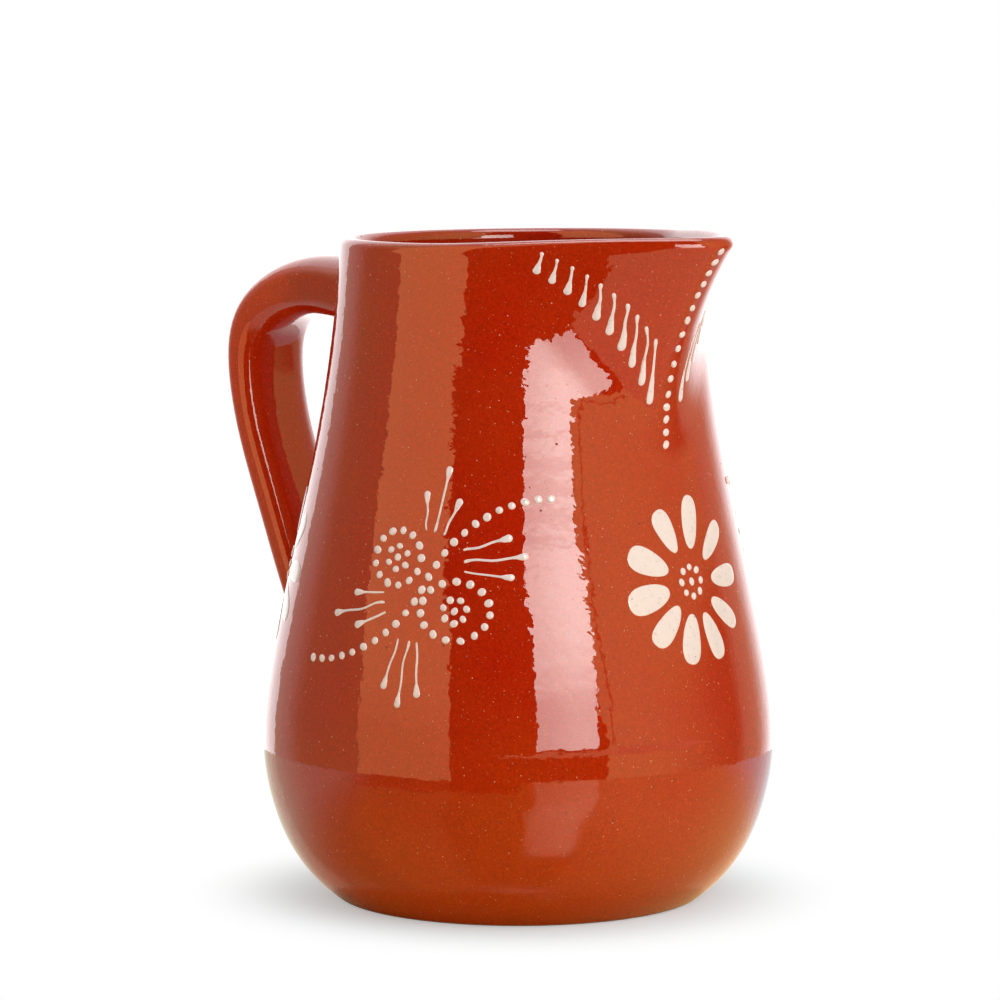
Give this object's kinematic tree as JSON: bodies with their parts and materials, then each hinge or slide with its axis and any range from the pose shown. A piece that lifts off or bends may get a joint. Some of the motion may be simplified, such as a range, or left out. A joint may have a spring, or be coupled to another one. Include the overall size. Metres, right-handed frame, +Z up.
{
  "type": "clay jug",
  "caption": "Glazed red clay pouring jug with a pulled lip, a strap handle and trailed ivory slip flowers, scrolls, beads and dashes.",
  "frame": {"origin": "centre of the foot, on the surface the jug stands on", "axes": "+Z up, +X from the jug's axis to the pouring lip, -X to the handle"},
  "size_m": [0.2045, 0.1546, 0.2026],
  "materials": {
    "clay": "clear gloss glaze over red clay",
    "slip": "clear gloss glaze over ivory slip"
  },
  "bodies": {
    "root": {"body": "clay", "handle": "clay", "crest_beads_line": "slip", "lip_dashes_right": "slip", "lip_dashes_left": "slip", "daisy_front_petals": "slip", "daisy_front_seeds": "slip", "daisy_right_petals": "slip", "daisy_right_seeds": "slip", "daisy_left_petals": "slip", "daisy_left_seeds": "slip", "scroll_right_line": "slip", "scroll_right_rings": "slip", "scroll_right_strokes": "slip", "scroll_left_line": "slip", "scroll_left_rings": "slip", "scroll_left_strokes": "slip"}
  },
  "joints": []
}
